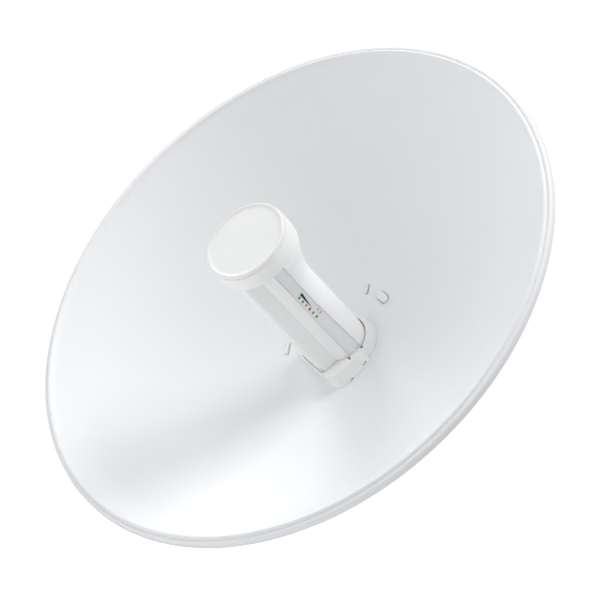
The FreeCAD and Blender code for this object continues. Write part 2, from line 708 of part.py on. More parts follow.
def port_cover():
    """Cup-shaped cover of the cable bay, pulled off downwards, with a cable notch."""
    low = HOUSING_BOTTOM - 2.4
    seat = HOUSING_BOTTOM - 0.3
    plate = block((-23.4, 23.4), (BAY_Y[0] - 1.0, BAY_Y[1] + 1.4), (low, seat))
    half = BAY_HALF_WIDTH - 0.4
    y = (BAY_Y[0] + 0.4, BAY_Y[1] - 0.4)
    lip = block((-half, half), y, (seat - 1, seat + 5))
    hollow = block((-half + 1.5, half - 1.5), (y[0] + 1.5, y[1] - 1.5), (seat - 0.5, seat + 6))
    notch = joined([
        rod(3.6, (0, BAY_Y[1] - 7, low - 1), (0, BAY_Y[1] - 7, seat + 7)),
        block((-3.6, 3.6), (BAY_Y[1] - 7, BAY_Y[1] + 3), (low - 1, seat + 7)),
    ])
    grips = [block((-12, 12), (y0, y0 + 1.2), (low - 1.0, low + 0.5)) for y0 in (-79, -76.4, -73.8)]
    return joined([plate, lip.cut(hollow)] + grips).cut(notch)


# ---- mast bracket -----------------------------------------------------------------------------
def saddle():
    """Bracket's web with two toothed plates that bear on the mast."""
    y = (WEB_Y[0], SADDLE_Y)
    plates = [block((-31, 31), y, (-WEB_HALF_HEIGHT, -WEB_HALF_HEIGHT + STEEL))]
    plates.append(block((-31, 31), y, (WEB_HALF_HEIGHT - STEEL, WEB_HALF_HEIGHT)))
    width = (-WEB_HALF_WIDTH, WEB_HALF_WIDTH)
    web = rounded_block(width, WEB_Y, (-WEB_HALF_HEIGHT, WEB_HALF_HEIGHT), 6)
    return joined([web] + plates).cut(mast_cutter())


def mast_cutter():
    """Mast with small grooves along it, which leave teeth in the saddle."""
    cutter = [rod(MAST_RADIUS, (0, 0, -60), (0, 0, 60))]
    for index in range(-4, 5):
        if index == 0:
            continue
        angle = math.radians(-90 + 12 * index)
        x = MAST_RADIUS * math.cos(angle)
        y = MAST_RADIUS * math.sin(angle)
        cutter.append(rod(1.1, (x, y, -60), (x, y, 60)))
    return cutter[0].multiFuse(cutter[1:])


def ear(sign):
    """Side plate of the bracket with the pivot hole and the curved lock slot."""
    inner = sign * EAR_INSIDE
    outer = sign * EAR_OUTSIDE
    pieces = [
        rod(12, (inner, PIVOT_Y, PIVOT_Z), (outer, PIVOT_Y, PIVOT_Z)),
        slot_sweep(6.6, inner, outer),
        block(sorted((inner, outer)), (PIVOT_Y + 3, WEB_Y[1]), (-27, PIVOT_Z + 12)),
        block(sorted((inner, outer)), (PIVOT_Y - 9, PIVOT_Y + 4), (-20, PIVOT_Z)),
    ]
    return pieces


def slot_sweep(half_width, inner, outer):
    """Curved bar about the pivot, as long as the lock bolt's travel."""
    band = tube(LOCK_RADIUS + half_width, LOCK_RADIUS - half_width, (inner, PIVOT_Y, PIVOT_Z),
                (outer, PIVOT_Y, PIVOT_Z))
    reach = 60
    left = math.radians(-90 - TILT)
    right = math.radians(-90 + TILT)
    wedge = side_block(
        [
            (PIVOT_Y, PIVOT_Z),
            (PIVOT_Y + reach * math.cos(left), PIVOT_Z + reach * math.sin(left)),
            (PIVOT_Y + reach * math.cos(right), PIVOT_Z + reach * math.sin(right)),
        ],
        sorted((inner, outer)),
    )
    pieces = [band.common(wedge)]
    for angle in (left, right):
        y = PIVOT_Y + LOCK_RADIUS * math.cos(angle)
        z = PIVOT_Z + LOCK_RADIUS * math.sin(angle)
        pieces.append(rod(half_width, (inner, y, z), (outer, y, z)))
    return joined(pieces)


def pole_bracket():
    """Pressed steel bracket: toothed saddle, web and two ears."""
    parts = [saddle()]
    for sign in (-1, 1):
        parts += ear(sign)
    body = joined(parts)
    cutters = []
    for sign in (-1, 1):
        inner = sign * (EAR_INSIDE - 2)
        outer = sign * (EAR_OUTSIDE + 2)
        cutters.append(rod(BOLT_RADIUS + 0.06, (inner, PIVOT_Y, PIVOT_Z), (outer, PIVOT_Y, PIVOT_Z)))
        cutters.append(slot_sweep(BOLT_RADIUS + 0.3, inner, outer))
        x = sign * CLAMP_BOLT_X
        cutters.append(block((x - 3.2, x + 3.2), (WEB_Y[0] - 1, WEB_Y[1] + 1), (-3.2, 3.2)))
        window = BOLT_HEAD_RADIUS + 1.1
        cutters.append(block(sorted((inner, outer)), (WEB_Y[0] - 4.5, WEB_Y[0]), (-window, window)))
    return body.cut(Part.makeCompound(cutters))


def carriage_bolts():
    """Two mushroom-head bolts with square necks, seated in the bracket's web."""
    bolts = []
    seat = WEB_Y[0]
    for x in (-CLAMP_BOLT_X, CLAMP_BOLT_X):
        dome = Part.makeSphere(9.8, Vector(x, seat + 6.1, 0))
        head = dome.common(rod(BOLT_HEAD_RADIUS, (x, seat - 5, 0), (x, seat, 0)))
        neck = block((x - 3.0, x + 3.0), (seat - 0.5, WEB_Y[1] + 1), (-3.0, 3.0))
        shank = rod(CLAMP_BOLT_RADIUS, (x, seat - 0.5, 0), (x, seat + CLAMP_BOLT_LENGTH, 0))
        bolts.append(joined([head, neck, shank]))
    return bolts


def clamp_jaw():
    """Half-round steel strap behind the mast, with a wing for each bolt."""
    z = (-STRAP_HALF_HEIGHT, STRAP_HALF_HEIGHT)
    band = rod(MAST_RADIUS + STRAP, (0, 0, z[0]), (0, 0, z[1]))
    band = band.common(block((-40, 40), (WING_Y[0], 40), z))
    wings = rounded_block((-WING_HALF_WIDTH, WING_HALF_WIDTH), WING_Y, z, 6)
    holes = [rod(CLAMP_BOLT_RADIUS + 0.5, (x, 0, 0), (x, 10, 0)) for x in (-CLAMP_BOLT_X, CLAMP_BOLT_X)]
    return joined([band, wings]).cut(Part.makeCompound([rod(MAST_RADIUS, (0, 0, -40), (0, 0, 40))] + holes))


def flange_nuts():
    """Hex nuts with a flange that pull the jaw up to the mast."""
    nuts = []
    seat = WING_Y[1]
    for x in (-CLAMP_BOLT_X, CLAMP_BOLT_X):
        nut = hex_prism(10.0, (x, seat + 1.2, 0), (x, seat + 6.6, 0))
        flange = Part.makeCone(6.5, 5.9, 1.4, Vector(x, seat, 0), Vector(0, 1, 0))
        bore = rod(CLAMP_BOLT_RADIUS + 0.06, (x, 0, 0), (x, 20, 0))
        nuts.append(joined([nut, flange]).cut(bore))
    return nuts


# ---- assembly -----------------------------------------------------------------------------------
def nodes():
    """Every separate piece by name; a list is a group of identical loose solids."""
    lock_y, lock_z = lock_place()
    return {
        "pole_bracket": pole_bracket(),
        "carriage_bolts": carriage_bolts(),
        "clamp_jaw": clamp_jaw(),
        "flange_nuts": flange_nuts(),
        "dish_reflector": dish_reflector(),
        "hub_collar": hub_collar(),
        "hub_gasket": hub_gasket(),
        "rear_housing": rear_housing(),
        "brass_inserts": brass_inserts(),
        "pivot_bolts": side_bolts(PIVOT_Y, PIVOT_Z, 4.0),
        "lock_bolts": side_bolts(lock_y, lock_z, 8.0),
        "bolt_washers": bolt_washers(),
        "release_latch": release_latch(),
        "latch_spring": latch_spring(),
        "latch_cover": latch_cover(),
        "latch_cover_screws": latch_cover_screws(),
        "port_cover": port_cover(),
        "feed_housing": feed_housing(),
        "feed_cap": feed_cap(),
        "cap_seal": cap_seal(),
        "subreflector": subreflector(),
        "reflector_spacers": reflector_spacers(),
        "radiator_board": radiator_board(),
        "feed_post": feed_post(),
        "coax_leads": coax_leads(),
        "main_board": main_board(),
        "shield_can": shield_can(),
        "board_chips": board_chips(),
        "ethernet_transformer": ethernet_transformer(),
        "jack_shell": jack_shell(),
        "jack_insert": jack_insert(),
        "jack_contacts": jack_contacts(),
        "status_leds": status_leds(),
        "green_light_pipes": light_pipes((0, 1, 4, 5)),
        "amber_light_pipe": light_pipes((2,)),
        "red_light_pipe": light_pipes((3,)),
        "label_strip": label_strip(),
        "reset_switch": reset_switch(),
        "reset_button": reset_button(),
        "end_gasket": end_gasket(),
        "end_cap": end_cap(),
        "end_cap_screws": end_cap_screws(),
    }


def export(name, shape):
    """Write one node, and stop if it isn't made of sound solids."""
    if isinstance(shape, list):
        shape = shape[0] if len(shape) == 1 else Part.makeCompound(shape)
    if not shape.isValid() or not shape.Solids:
        raise ValueError(name + " is not a valid solid")
    shape.exportStep(os.path.join("parts", name + ".step"))
    box = shape.BoundBox
    print("%-22s solids %d  volume %9.1f  x %.1f %.1f  y %.1f %.1f  z %.1f %.1f" % (
        name, len(shape.Solids), shape.Volume, box.XMin, box.XMax, box.YMin, box.YMax, box.ZMin, box.ZMax))


os.makedirs("parts", exist_ok=True)
for node_name, node_shape in nodes().items():
    export(node_name, node_shape)
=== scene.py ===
import json
import math

import bmesh
import bpy
from mathutils import Matrix, Vector


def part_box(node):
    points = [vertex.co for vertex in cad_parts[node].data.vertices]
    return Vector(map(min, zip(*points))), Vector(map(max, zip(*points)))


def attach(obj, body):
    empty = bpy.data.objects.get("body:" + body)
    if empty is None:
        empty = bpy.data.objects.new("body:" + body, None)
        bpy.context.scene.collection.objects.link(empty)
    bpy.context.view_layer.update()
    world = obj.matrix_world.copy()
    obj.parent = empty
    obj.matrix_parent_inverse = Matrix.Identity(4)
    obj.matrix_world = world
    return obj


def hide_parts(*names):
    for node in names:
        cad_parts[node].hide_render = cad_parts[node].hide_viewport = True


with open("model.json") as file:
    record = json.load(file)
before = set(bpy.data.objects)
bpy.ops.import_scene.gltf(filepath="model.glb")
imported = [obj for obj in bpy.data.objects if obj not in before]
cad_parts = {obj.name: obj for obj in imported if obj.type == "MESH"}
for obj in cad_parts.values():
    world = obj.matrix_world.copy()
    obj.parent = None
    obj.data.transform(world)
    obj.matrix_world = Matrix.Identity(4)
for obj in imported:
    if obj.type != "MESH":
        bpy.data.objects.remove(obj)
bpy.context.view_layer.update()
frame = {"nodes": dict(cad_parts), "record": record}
nodes = frame["nodes"]

# Outdoor wireless bridge, looks. Row frame: origin on the mast's axis at the middle of the
# clamp, +Z up the mast, and the dish looks along -Y. Shapes below are drawn in millimetres
# and turned into metres as each mesh is made.

# ---- sizes shared with the CAD part -----------------------------------------------------------
MM = 0.001
RIM_Y = -171.0                 # rim plane
CAP_Y = -229.8                 # feed cap's highest ring, the frontmost point
VERTEX_Y = -84.0               # bottom of the dish's bowl, if it had no hole
APERTURE_RADIUS = 203.2
DISH_RADIUS = 210.0
SHEET = 1.2
BLEND_RADIUS = 62.0            # the keyed hole's shape fades into round rings by here
FOCAL = APERTURE_RADIUS ** 2 / (4 * (VERTEX_Y - RIM_Y))
CAP_RADIUS = 32.0
CAP_HEIGHT = 16.3
FEED_RADIUS = 20.0
HOLE_RADIUS = FEED_RADIUS + 4.2
KEEL_HOLE_HALF_WIDTH = 17.0
KEEL_HOLE_DROP = 27.8
LABEL_FACE = 18.9
LED_START_Y = CAP_Y + 58.9
LED_PITCH = 4.92
HOOKS = ((-40.4, -29.4, 12.0, 48), (-22.6, 42.0, 7.5, 60))   # X, Z, length and turn
HOOK_WIDTH = 1.8
TAB_AT = (-5.2, 44.8)          # X, Z of the broad tab's middle
TAB_SIZE = (11.7, 6.3)
COIL_ROOM = 4.2                # the catch's 4 mm lift and a little to spare
SLOT_CUT_Y = (-100, -70)       # reaches through the sheet at every slot

# ---- camera -----------------------------------------------------------------------------------
CAMERA_AZIMUTH = 47.0
CAMERA_ELEVATION = -2.9
CAMERA_ROLL = 43.67
CAMERA_ANGLE = 12.0            # full width of the view, degrees
CAMERA_DISTANCE = 2.039        # from the rim's centre, metres
AIM_RIGHT = 0.0091             # the view's centre, from the rim's centre
AIM_DOWN = 0.0111

# ---- light ------------------------------------------------------------------------------------
WORLD_LIGHT = 0.47
FLOOR_GLOW = 0.72              # lifts the floor to white where the camera sees it
LIGHTS = (                     # name, direction from the dish, size in metres, watts
    ("light_top", (0.0, -0.3, 1.0), 0.9, 25.0),
    ("light_high", (0.3, -0.5, 1.0), 0.5, 5.5),
    ("light_side", (-1.0, -0.35, 0.35), 0.7, 9.0),
    ("light_far", (-0.9, -0.8, 0.3), 1.2, 3.0),
)
LIGHT_DISTANCE = 2.2
LIGHT_AIM_Y = -0.15
FLOOR_Z = -0.216               # just under the dish's lowest point, metres
FLOOR_HALF_SIZE = 30.0


# ---- mesh helpers -----------------------------------------------------------------------------
def make_mesh(name, points, faces):
    """Mesh from points in millimetres, with doubled points joined and faces turned outwards."""
    mesh = bpy.data.meshes.new(name)
    mesh.from_pydata([[value * MM for value in point] for point in points], [], faces)
    mesh.validate()
    build = bmesh.new()
    build.from_mesh(mesh)
    bmesh.ops.remove_doubles(build, verts=build.verts, dist=1e-7)
    bmesh.ops.recalc_face_normals(build, faces=build.faces)
    build.to_mesh(mesh)
    build.free()
    return mesh


def add_object(name, data):
    """Object in the scene for a mesh, light, curve or camera."""
    made = bpy.data.objects.new(name, data)
    bpy.context.scene.collection.objects.link(made)
    return made


def new_piece(name, points, faces, body, slot, crease=34.0):
    """Piece from points in millimetres, smooth except at sharp edges, riding on a CAD body."""
    mesh = make_mesh(name, points, faces)
    piece = add_object(name, mesh)
    smooth(piece, crease)
    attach(piece, body)
    mesh.materials.append(materials[slot])
    return piece


def smooth(piece, crease):
    """Smooth shading with edges kept sharp above an angle in degrees."""
    for polygon in piece.data.polygons:
        polygon.use_smooth = True
    piece.data.set_sharp_from_angle(angle=math.radians(crease))


def grid_faces(rows, columns, close_rows):
    """Quads of a grid whose columns close on themselves."""
    faces = []
    last = rows if close_rows else rows - 1
    for row in range(last):
        after = (row + 1) % rows
        for column in range(columns):
            beside = (column + 1) % columns
            faces.append((
                row * columns + column,
                row * columns + beside,
                after * columns + beside,
                after * columns + column,
            ))
    return faces


def revolved(name, profile, body, slot, segments=128, crease=34.0):
    """Solid turned about the dish's axis from a closed chain of (radius, Y)."""
    points = []
    for radius, y in profile:
        for index in range(segments):
            angle = 2 * math.pi * index / segments
            points.append((radius * math.cos(angle), y, radius * math.sin(angle)))
    return new_piece(name, points, grid_faces(len(profile), segments, True), body, slot, crease)


def arc_points(centre, radius, start, end, count):
    """Points along an arc in a plane, angles in degrees."""
    found = []
    for index in range(count):
        angle = math.radians(start + (end - start) * index / (count - 1))
        found.append((centre[0] + radius * math.cos(angle), centre[1] + radius * math.sin(angle)))
    return found


def cut(piece, cutters, crease):
    """Cut closed meshes out of a piece and remove them."""
    for cutter in cutters:
        modifier = piece.modifiers.new("cut", "BOOLEAN")
        modifier.object = cutter
        modifier.solver = "EXACT"
    depsgraph = bpy.context.evaluated_depsgraph_get()
    mesh = bpy.data.meshes.new_from_object(piece.evaluated_get(depsgraph))
    piece.modifiers.clear()
    piece.data = mesh
    for cutter in cutters:
        bpy.data.objects.remove(cutter)
    smooth(piece, crease)


def prism_faces(count):
    """Faces of a prism between two outlines with the same number of points."""
    faces = [tuple(range(count)), tuple(range(2 * count - 1, count - 1, -1))]
    for index in range(count):
        after = (index + 1) % count
        faces.append((index, after, count + after, count + index))
    return faces


def slot_cutter(outline):
    """Closed mesh that cuts an (X, Z) outline through the dish's sheet."""
    front, back = SLOT_CUT_Y
    points = [(x, front, z) for x, z in outline] + [(x, back, z) for x, z in outline]
    return add_object("slot", make_mesh("slot", points, prism_faces(len(outline))))


def rounded_outline(x, z, radius, steps=6):
    """Rounded rectangle in (X, Z)."""
    corners = (
        ((x[1] - radius, z[1] - radius), 0),
        ((x[0] + radius, z[1] - radius), 90),
        ((x[0] + radius, z[0] + radius), 180),
        ((x[1] - radius, z[0] + radius), 270),
    )
    outline = []
    for centre, start in corners:
        outline += arc_points(centre, radius, start, start + 90, steps)
    return outline


# ---- materials --------------------------------------------------------------------------------
class Surface:
    """Node material with a principled shader and helpers for grain, tone and wear."""

    def __init__(self, name, colour, roughness, metallic=0.0):
        self.material = bpy.data.materials.new(name)
        self.material.use_nodes = True
        self.tree = self.material.node_tree
        self.shader = self.tree.nodes["Principled BSDF"]
        self.colour = colour
        self.shader.inputs["Base Color"].default_value = (*colour, 1)
        self.shader.inputs["Roughness"].default_value = roughness
        self.shader.inputs["Metallic"].default_value = metallic
        self.place = self.node("ShaderNodeTexCoord").outputs["Object"]
        self.normal = None

    def node(self, kind, **values):
        made = self.tree.nodes.new(kind)
        for key, value in values.items():
            setattr(made, key, value)
        return made

    def link(self, start, end):
        self.tree.links.new(start, end)

    def noise(self, scale, detail=3.0, stretch=(1, 1, 1)):
        """Noise with features of about 1/scale metres."""
        mapping = self.node("ShaderNodeMapping")
        mapping.inputs["Scale"].default_value = stretch
        texture = self.node("ShaderNodeTexNoise")
        texture.inputs["Scale"].default_value = scale
        texture.inputs["Detail"].default_value = detail
        self.link(self.place, mapping.inputs["Vector"])
        self.link(mapping.outputs["Vector"], texture.inputs["Vector"])
        return texture.outputs["Fac"]

    def cells(self, scale, feature="F1"):
        """Cell pattern with cells of about 1/scale metres."""
        texture = self.node("ShaderNodeTexVoronoi", feature=feature)
        texture.inputs["Scale"].default_value = scale
        self.link(self.place, texture.inputs["Vector"])
        return texture

    def ranged(self, value, low, high, start=0.3, end=0.7):
        """A value stretched from one range to another."""
        mapped = self.node("ShaderNodeMapRange")
        mapped.inputs["From Min"].default_value = start
        mapped.inputs["From Max"].default_value = end
        mapped.inputs["To Min"].default_value = low
        mapped.inputs["To Max"].default_value = high
        self.link(value, mapped.inputs["Value"])
        return mapped.outputs["Result"]

    def tone(self, value, other, start=0.35, end=0.65):
        """Blend the base colour towards another one by a value."""
        mix = self.node("ShaderNodeMix", data_type="RGBA")
        self.link(self.ranged(value, 0, 1, start, end), mix.inputs["Factor"])
        socket = self.shader.inputs["Base Color"]
        if socket.is_linked:
            self.link(socket.links[0].from_socket, mix.inputs["A"])
        else:
            mix.inputs["A"].default_value = (*self.colour, 1)
        mix.inputs["B"].default_value = (*other, 1)
        self.link(mix.outputs["Result"], socket)
        return self

    def rough(self, value, low, high):
        """Roughness that varies with a value."""
        self.link(self.ranged(value, low, high), self.shader.inputs["Roughness"])
        return self

    def bump(self, value, depth_mm, strength=1.0):
        """Relief from a value, with a depth in millimetres."""
        bump = self.node("ShaderNodeBump")
        bump.inputs["Strength"].default_value = strength
        bump.inputs["Distance"].default_value = depth_mm * MM
        self.link(value, bump.inputs["Height"])
        if self.normal is not None:
            self.link(self.normal, bump.inputs["Normal"])
        self.normal = bump.outputs["Normal"]
        self.link(self.normal, self.shader.inputs["Normal"])
        return self

    def soft_edges(self, radius_mm):
        """Rounded look on sharp edges."""
        bevel = self.node("ShaderNodeBevel", samples=4)
        bevel.inputs["Radius"].default_value = radius_mm * MM
        self.normal = bevel.outputs["Normal"]
        self.link(self.normal, self.shader.inputs["Normal"])
        return self


def dish_paint():
    """Powder coat: fine orange peel, faint clouds of tone and a few dust specks."""
    paint = Surface("dish_paint", (0.86, 0.865, 0.875), 0.52)
    paint.bump(paint.noise(620, 2), 0.05, 0.35)
    paint.tone(paint.noise(9, 2), (0.845, 0.85, 0.862), 0.3, 0.7)
    paint.tone(paint.noise(1900, 1), (0.80, 0.80, 0.80), 0.72, 0.80)
    paint.rough(paint.noise(60, 4), 0.46, 0.58)
    return paint.material


def white_plastic():
    """Weatherproof moulded plastic: satin, with spark texture and faint flow marks."""
    plastic = Surface("white_plastic", (0.87, 0.87, 0.865), 0.42).soft_edges(0.35)
    plastic.bump(plastic.noise(2400, 2), 0.02, 0.35)
    plastic.tone(plastic.noise(30, 3, (1, 0.25, 1)), (0.85, 0.852, 0.85), 0.3, 0.7)
    plastic.rough(plastic.noise(180, 3), 0.36, 0.48)
    return plastic.material


def plated_steel(name, colour, spangle, roughness):
    """Zinc-plated steel: crystal spangle, brushed haze and darker handling marks."""
    steel = Surface(name, colour, roughness, 1.0).soft_edges(0.3)
    cells = steel.cells(spangle)
    steel.tone(cells.outputs["Color"], [value * 0.8 for value in colour], 0.2, 0.8)
    steel.tone(steel.noise(45, 5), [value * 0.62 for value in colour], 0.58, 0.8)
    steel.rough(steel.noise(260, 4), roughness - 0.08, roughness + 0.14)
    steel.bump(steel.noise(1500, 3, (1, 1, 0.12)), 0.02, 0.4)
    return steel.material


def rubber():
    """Black seal rubber, dull, with a little dust."""
    seal = Surface("seal_rubber", (0.022, 0.022, 0.024), 0.78).soft_edges(0.2)
    seal.bump(seal.noise(1300, 4), 0.04, 0.5)
    seal.tone(seal.noise(300, 3), (0.05, 0.05, 0.052), 0.5, 0.8)
    seal.rough(seal.noise(90, 2), 0.7, 0.86)
    return seal.material


def turned_metal(name, colour, roughness):
    """Lathe-turned metal: fine rings about the dish's axis and slight tarnish."""
    metal = Surface(name, colour, roughness, 1.0).soft_edges(0.2)
    metal.bump(metal.noise(900, 2, (1, 0.08, 1)), 0.02, 0.5)
    metal.tone(metal.noise(120, 4), [value * 0.7 for value in colour], 0.5, 0.8)
    metal.rough(metal.noise(400, 3), roughness - 0.06, roughness + 0.12)
    return metal.material


def moulded(name, colour, roughness, grain=900):
    """Small moulded part with fine grain and uneven gloss."""
    plastic = Surface(name, colour, roughness).soft_edges(0.2)
    plastic.bump(plastic.noise(grain, 3), 0.03, 0.3)
    plastic.tone(plastic.noise(140, 3), [value * 0.85 for value in colour], 0.45, 0.75)
    plastic.rough(plastic.noise(220, 2), roughness - 0.06, roughness + 0.08)
    return plastic.material


def board_laminate():
    """Solder-masked board with copper tracks showing as lighter lines under the mask."""
    board = Surface("board_laminate", (0.015, 0.085, 0.035), 0.35)
    tracks = board.cells(420, "DISTANCE_TO_EDGE")
    board.tone(tracks.outputs["Distance"], (0.03, 0.15, 0.065), 0.10, 0.04)
    board.bump(tracks.outputs["Distance"], 0.03, 0.3)
    board.rough(board.noise(300, 2), 0.28, 0.42)
    return board.material


def lens(name, colour):
    """Tinted clear plastic, darker in soft patches, with a clear coat."""
    tint = Surface(name, colour, 0.18)
    tint.tone(tint.noise(900, 2), [value * 0.7 for value in colour], 0.4, 0.7)
    tint.rough(tint.noise(500, 2), 0.12, 0.28)
    tint.shader.inputs["Coat Weight"].default_value = 0.4
    return tint.material


def label_film():
    """Satin printed film with a faint linen texture."""
    film = Surface("label_film", (0.80, 0.805, 0.815), 0.34)
    film.bump(film.noise(1600, 2, (1, 0.3, 1)), 0.012, 0.3)
    film.tone(film.noise(50, 3), (0.78, 0.785, 0.795), 0.35, 0.7)
    film.rough(film.noise(200, 2), 0.3, 0.42)
    return film.material


def printed(name, colour):
    """Screen-printed ink."""
    ink = Surface(name, colour, 0.45)
    ink.tone(ink.noise(2500, 2), [value * 1.4 for value in colour], 0.45, 0.8)
    ink.rough(ink.noise(800, 2), 0.38, 0.55)
    return ink.material


materials = {
    "dish_paint": dish_paint(),
    "white_plastic": white_plastic(),
    "bracket_steel": plated_steel("bracket_steel", (0.66, 0.67, 0.68), 130, 0.42),
    "bolt_steel": plated_steel("bolt_steel", (0.70, 0.70, 0.69), 420, 0.30),
    "seal_rubber": rubber(),
    "insert_brass": turned_metal("insert_brass", (0.82, 0.62, 0.30), 0.28),
    "spun_aluminium": turned_metal("spun_aluminium", (0.86, 0.87, 0.88), 0.30),
    "nylon": moulded("nylon", (0.72, 0.71, 0.67), 0.5),
    "board_laminate": board_laminate(),
    "chip_plastic": moulded("chip_plastic", (0.03, 0.03, 0.032), 0.5),
    "tinned_steel": turned_metal("tinned_steel", (0.78, 0.78, 0.76), 0.25),
    "jack_plastic": moulded("jack_plastic", (0.035, 0.035, 0.038), 0.42),
    "contact_gold": turned_metal("contact_gold", (0.95, 0.72, 0.32), 0.2),
    "led_body": moulded("led_body", (0.82, 0.80, 0.72), 0.4),
    "lens_green": lens("lens_green", (0.10, 0.36, 0.16)),
    "lens_amber": lens("lens_amber", (0.72, 0.33, 0.12)),
    "lens_red": lens("lens_red", (0.50, 0.05, 0.09)),
    "label_film": label_film(),
    "coax_jacket": moulded("coax_jacket", (0.10, 0.10, 0.11), 0.5),
}


# ---- CAD nodes that stay, with their finishes -------------------------------------------------
def finish_nodes():
    """Give every CAD node its record's finish."""
    for row in frame["record"]["subparts"]:
        node = nodes[row["node"]]
        node.data.materials.clear()
        node.data.materials.append(materials[row["material_slot"]])


# ---- dish -------------------------------------------------------------------------------------
def surface_y(radius):
    """Y of the dish's front at a distance from its axis."""
    return VERTEX_Y - radius ** 2 / (4 * FOCAL)


def hole_radius(angle):
    """Distance from the feed's axis to the edge of the dish's keyed hole in a direction."""
    across, up = math.cos(angle), math.sin(angle)
    if up >= 0:
        return HOLE_RADIUS
    to_side = KEEL_HOLE_HALF_WIDTH / max(abs(across), 1e-9)
    to_bottom = KEEL_HOLE_DROP / -up
    return max(HOLE_RADIUS, min(to_side, to_bottom))


def rim_profile():
    """The rolled double rim in (radius, Y), from the bowl's edge round to the sheet's back."""
    bead = arc_points((204.6, RIM_Y + 0.05), 1.4, 176, 4, 9)[1:]
    rim = [(radius, RIM_Y - (y - RIM_Y) * 0.95) for radius, y in bead]
    groove_and_lip = (
        (206.35, 0.55), (206.75, 0.62), (207.3, 0.2), (208.0, -0.05), (208.9, 0.15), (209.6, 0.85),
        (DISH_RADIUS, 2.2), (DISH_RADIUS, 3.8), (DISH_RADIUS, 5.1), (209.7, 5.4), (209.1, 5.4),
        (208.8, 5.1), (208.8, 2.6), (208.4, 2.35), (203.8, 2.1),
    )
    return rim + [(radius, RIM_Y + behind) for radius, behind in groove_and_lip]


def dish_rows():
    """Rings of the dish from the hole's front edge out round the rim and back behind the sheet."""
    steps = [index / 7 for index in range(7)]
    radii = [BLEND_RADIUS + (APERTURE_RADIUS - BLEND_RADIUS) * index / 44 for index in range(45)]
    rows = [("blend", step, 0.0) for step in steps]
    rows += [("ring", radius, surface_y(radius)) for radius in radii]
    rows += [("ring", radius, y) for radius, y in rim_profile()]
    rows += [("ring", radius - 0.5, surface_y(radius - 0.5) + SHEET) for radius in reversed(radii)]
    rows += [("blend", step, SHEET) for step in reversed(steps)]
    return rows


def dish_reflector():
    """Pressed parabolic dish with a rolled double rim, a keyed hole and slots for the hooks."""
    segments = 288
    rows = dish_rows()
    points = []
    for kind, value, y in rows:
        for index in range(segments):
            angle = 2 * math.pi * index / segments
            radius = value
            height = y
            if kind == "blend":
                inner = hole_radius(angle)
                radius = inner + (BLEND_RADIUS - inner) * value
                height = surface_y(radius) + y
            points.append((radius * math.cos(angle), height, radius * math.sin(angle)))
    dish = new_piece(
        "dish_shell", points, grid_faces(len(rows), segments, True), "dish_head", "dish_paint", 40
    )
    cutters = [slot_cutter(slot_outline(hook)) for hook in HOOKS]
    cutters.append(slot_cutter(tab_outline(0.5)))
    cut(dish, cutters, 40)
    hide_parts("dish_reflector")


def slot_outline(hook):
    """Slot round one hook in (X, Z), wider on one side of the tongue."""
    x, z, length, turn = hook
    half_length = length / 2 + 0.2
    low, high = -HOOK_WIDTH / 2 - 0.2, HOOK_WIDTH / 2 + 0.9
    cosine, sine = math.cos(math.radians(turn)), math.sin(math.radians(turn))
    corners = ((half_length, high), (-half_length, high), (-half_length, low), (half_length, low))
    return [(x + a * cosine + b * sine, z + b * cosine - a * sine) for a, b in corners]


def tab_outline(margin):
    """Broad tab above the feed in (X, Z)."""
    half_length = TAB_SIZE[0] / 2 + margin
    half_width = TAB_SIZE[1] / 2 + margin
    x = (TAB_AT[0] - half_length, TAB_AT[0] + half_length)
    z = (TAB_AT[1] - half_width, TAB_AT[1] + half_width)
    return rounded_outline(x, z, half_width - 0.2)


# ---- feed radio ---------------------------------------------------------------------------------
def feed_cap():
    """Radome cap: flat face, rounded border, a shallow groove round it and a crisp lower edge."""
    skirt = CAP_Y + CAP_HEIGHT
    face = CAP_Y + 0.9
    profile = [(0, face), (10, face), (20, face), (26, face), (28.0, face)]
    profile += [(28.5, face - 0.06), (29.0, face - 0.28), (29.4, face - 0.58), (29.8, face - 0.82)]
    profile += [(30.2, CAP_Y)]
    profile += arc_points((30.2, CAP_Y + 1.1), 1.1, -90, 0, 7)[1:]
    profile += [(31.3, CAP_Y + 2.0), (30.9, CAP_Y + 2.2), (30.9, CAP_Y + 3.4), (31.5, CAP_Y + 3.6)]
    profile += arc_points((31.5, CAP_Y + 4.1), 0.5, -90, 0, 5)[1:]
    profile += [(CAP_RADIUS, skirt - 2), (CAP_RADIUS, skirt - 0.5), (31.85, skirt - 0.15)]
    profile += [(31.5, skirt), (30.2, skirt), (30.2, CAP_Y + 3), (0, CAP_Y + 3)]
    cap = revolved("cap_shell", profile, "feed_radio", "white_plastic", 160)
    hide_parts("feed_cap")


def led_y(index):
    """Y of one of the six lights."""
    return LED_START_Y + LED_PITCH * index


def label_marks():
    """Printed signal wedge and two tiny link signs beside the lights; no lettering."""
    top = LABEL_FACE + 0.04
    base = LABEL_FACE + 0.005
    dark = printed("ink_dark", (0.02, 0.022, 0.025))
    green = printed("ink_green", (0.22, 0.36, 0.25))
    red = printed("ink_red", (0.35, 0.22, 0.22))
    wedge = [(CAP_Y + 57.2, -0.1), (CAP_Y + 57.2, 2.2), (CAP_Y + 73.2, 0.15), (CAP_Y + 73.2, -0.1)]
    signs = [("signal_wedge", wedge, dark)]
    for name, y, ink in (("power_sign", led_y(4) + 0.9, green), ("link_sign", led_y(5) - 0.2, red)):
        outline = [(y - 0.7, 1.4), (y - 0.7, 2.6), (y, 3.2), (y + 0.7, 2.6), (y + 0.7, 1.4)]
        signs.append((name, outline, ink))
    for name, outline, ink in signs:
        points = [(base, y, z) for y, z in outline] + [(top, y, z) for y, z in outline]
        mark = new_piece(name, points, prism_faces(len(outline)), "feed_radio", "label_film")
        mark.data.materials.clear()
        mark.data.materials.append(ink)


